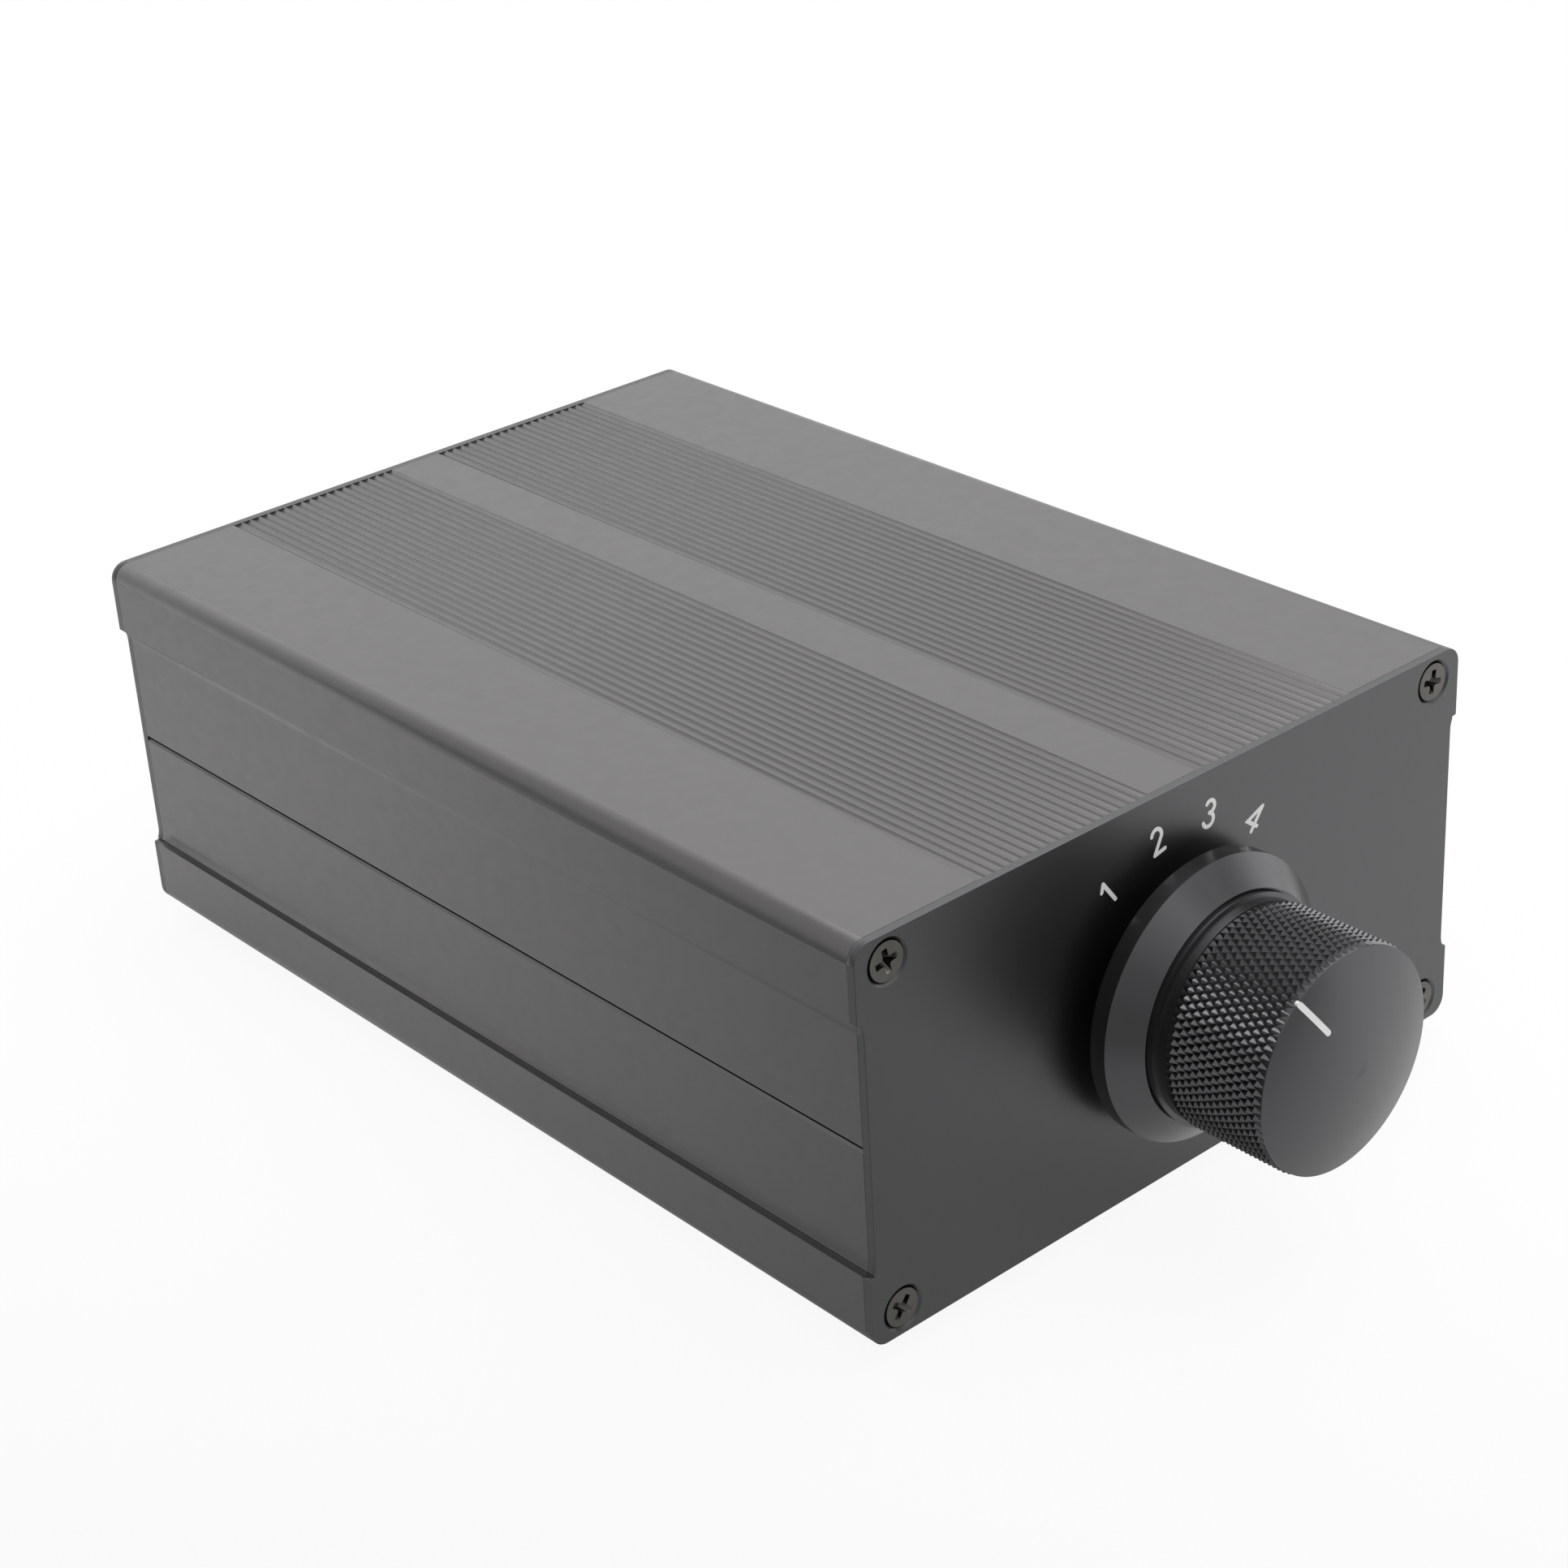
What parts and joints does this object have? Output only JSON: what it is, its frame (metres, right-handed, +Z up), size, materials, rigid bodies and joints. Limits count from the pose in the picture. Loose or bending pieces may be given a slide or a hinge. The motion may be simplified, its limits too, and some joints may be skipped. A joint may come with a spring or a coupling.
{
  "type": "audio source selector",
  "caption": "Desktop audio source selector: a fluted black metal case with a knurled rotary knob on the front and phono sockets on the rear.",
  "frame": {"origin": "under the middle of the whole part, on the surface that the feet stand on", "axes": "+Z up, the knob faces -Y and the sockets face +Y, +X is to the right as seen from the front"},
  "size_m": [0.106, 0.1974, 0.058],
  "materials": {
    "case_metal": "black anodised, satin",
    "plate_metal": "black anodised, satin",
    "knob_metal": "black anodised, satin",
    "screw_black": "blackened steel",
    "white_line": "white fill",
    "foot_rubber": "soft",
    "switch_metal": "nickel plated",
    "switch_phenolic": "moulded brown",
    "rotor_plastic": "natural nylon",
    "tinned": "tinned",
    "gold": "gold plated",
    "ring_red": "moulded",
    "ring_white": "moulded",
    "insulator_white": "moulded",
    "pad_black": "fibre washer",
    "wire_white": "insulated copper",
    "wire_red": "insulated copper"
  },
  "bodies": {
    "case": {"top_shell": "case_metal", "bottom_shell": "case_metal", "front_panel": "plate_metal", "rear_panel": "plate_metal", "front_screws": "screw_black", "rear_screws": "screw_black", "feet": "foot_rubber", "switch_bush": "switch_metal", "switch_housing": "switch_phenolic", "switch_rivets": "switch_metal", "switch_wafer": "switch_phenolic", "input_terminals": "tinned", "common_terminals": "tinned", "switch_washer": "switch_metal", "switch_nut": "switch_metal", "jack_rings_red": "ring_red", "jack_rings_white": "ring_white", "jack_sleeves": "gold", "jack_insulators": "insulator_white", "jack_contacts": "gold", "jack_pads": "pad_black", "jack_tags": "tinned", "jack_nuts": "gold", "ground_wire": "tinned", "left_wires": "wire_white", "right_wires": "wire_red"},
    "selector": {"knob": "knob_metal", "pointer": "white_line", "grub_screw": "screw_black", "switch_shaft": "switch_metal", "shaft_clip": "switch_metal", "switch_rotor": "rotor_plastic", "rotor_wipers": "gold", "detent_ball": "switch_metal", "detent_spring": "switch_metal"}
  },
  "joints": [
    {"name": "knob_turn", "type": "hinge", "parent": "case", "child": "selector", "pos_m": [0, -0.07007, 0.0305], "axis": [0, 1, 0], "range_deg": [0, 72]}
  ]
}
